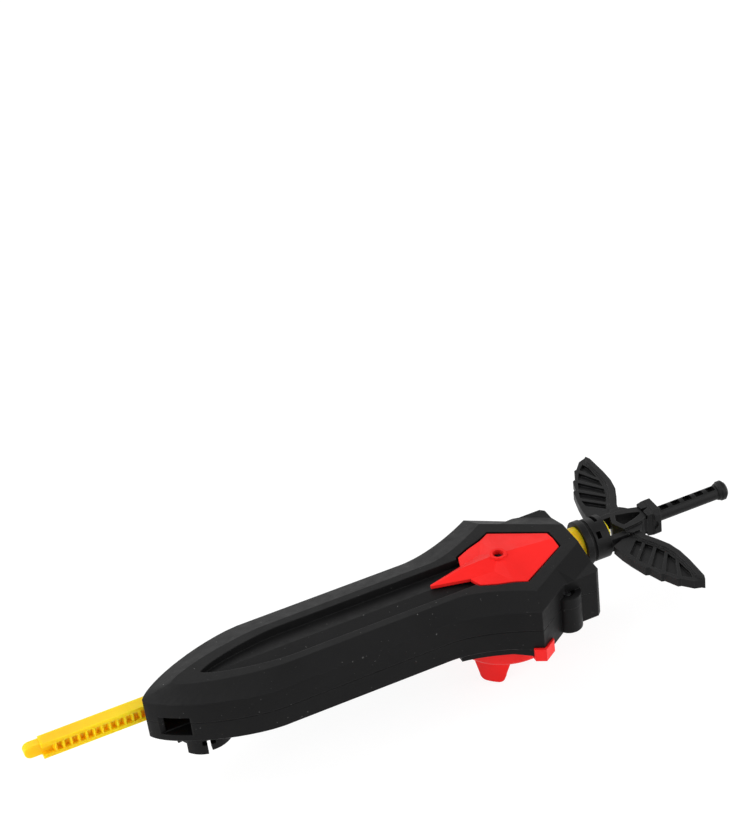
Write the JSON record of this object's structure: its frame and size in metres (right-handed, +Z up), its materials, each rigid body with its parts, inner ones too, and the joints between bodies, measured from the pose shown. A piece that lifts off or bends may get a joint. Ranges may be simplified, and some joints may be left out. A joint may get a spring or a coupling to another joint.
{
  "type": "spinning top launcher",
  "caption": "Sword-shaped spinning top launcher whose winged ripcord drives a rack, gear and red turntable with prongs and a sprung centre pin",
  "frame": {"origin": "centre of the open rim of the red bezel, on the turntable axis", "axes": "X along the body towards the hilt, Y across the body, Z up towards the face with the gem"},
  "size_m": [0.2797, 0.088, 0.0464],
  "materials": {
    "lower_shell": "satin moulded black ABS with a fine grain",
    "upper_shell": "satin moulded black ABS with a fine grain",
    "socket_block": "white acetal",
    "emblem_plate": "satin red ABS",
    "emblem_screw": "plain steel",
    "bezel_ring": "glossy red ABS",
    "bezel_screws": "zinc plated steel",
    "shell_screws": "zinc plated steel",
    "grip_mount": "satin black ABS",
    "grip_screw": "zinc plated steel",
    "gear_frame": "dark grey ABS",
    "lower_bush": "natural acetal",
    "upper_bush": "natural acetal",
    "turntable_disc": "glossy red ABS",
    "spindle": "ground steel",
    "drive_gear": "natural nylon",
    "thrust_washer": "plain steel",
    "retaining_clip": "spring steel",
    "centre_pin": "white nylon",
    "pin_spring": "spring wire",
    "toothed_strip": "yellow nylon",
    "hilt_barrel": "satin black nylon",
    "wing_left": "satin black nylon",
    "wing_right": "satin black nylon",
    "guard_block": "satin black nylon",
    "pommel_cap": "satin black nylon"
  },
  "bodies": {
    "housing": {"lower_shell": "lower_shell", "upper_shell": "upper_shell", "socket_block": "socket_block", "emblem_plate": "emblem_plate", "emblem_screw": "emblem_screw", "bezel_ring": "bezel_ring", "bezel_screws": "bezel_screws", "shell_screws": "shell_screws", "grip_mount": "grip_mount", "grip_screw": "grip_screw", "gear_frame": "gear_frame", "lower_bush": "lower_bush", "upper_bush": "upper_bush"},
    "turntable": {"turntable_disc": "turntable_disc", "spindle": "spindle", "drive_gear": "drive_gear", "thrust_washer": "thrust_washer", "retaining_clip": "retaining_clip", "pin_spring": "pin_spring"},
    "pin": {"centre_pin": "centre_pin"},
    "ripcord": {"toothed_strip": "toothed_strip", "hilt_barrel": "hilt_barrel", "wing_left": "wing_left", "wing_right": "wing_right", "guard_block": "guard_block", "pommel_cap": "pommel_cap"}
  },
  "joints": [
    {"name": "ripcord_pull", "type": "slide", "parent": "housing", "child": "ripcord", "axis": [1, 0, 0], "range_m": [0, 0.208]},
    {"name": "turntable_spin", "type": "hinge", "parent": "housing", "child": "turntable", "pos_m": [0, 0, 0], "axis": [0, 0, 1], "range_deg": [-2300, 0]},
    {"name": "pin_press", "type": "slide", "parent": "turntable", "child": "pin", "axis": [0, 0, 1], "range_m": [0, 0.002], "stiffness_N_per_m": 150, "springref_m": -0.002, "deforming": ["pin_spring"]}
  ],
  "couplings": [
    {"joint": "turntable_spin", "follows": "ripcord_pull", "rad_per_m": -185.19}
  ]
}
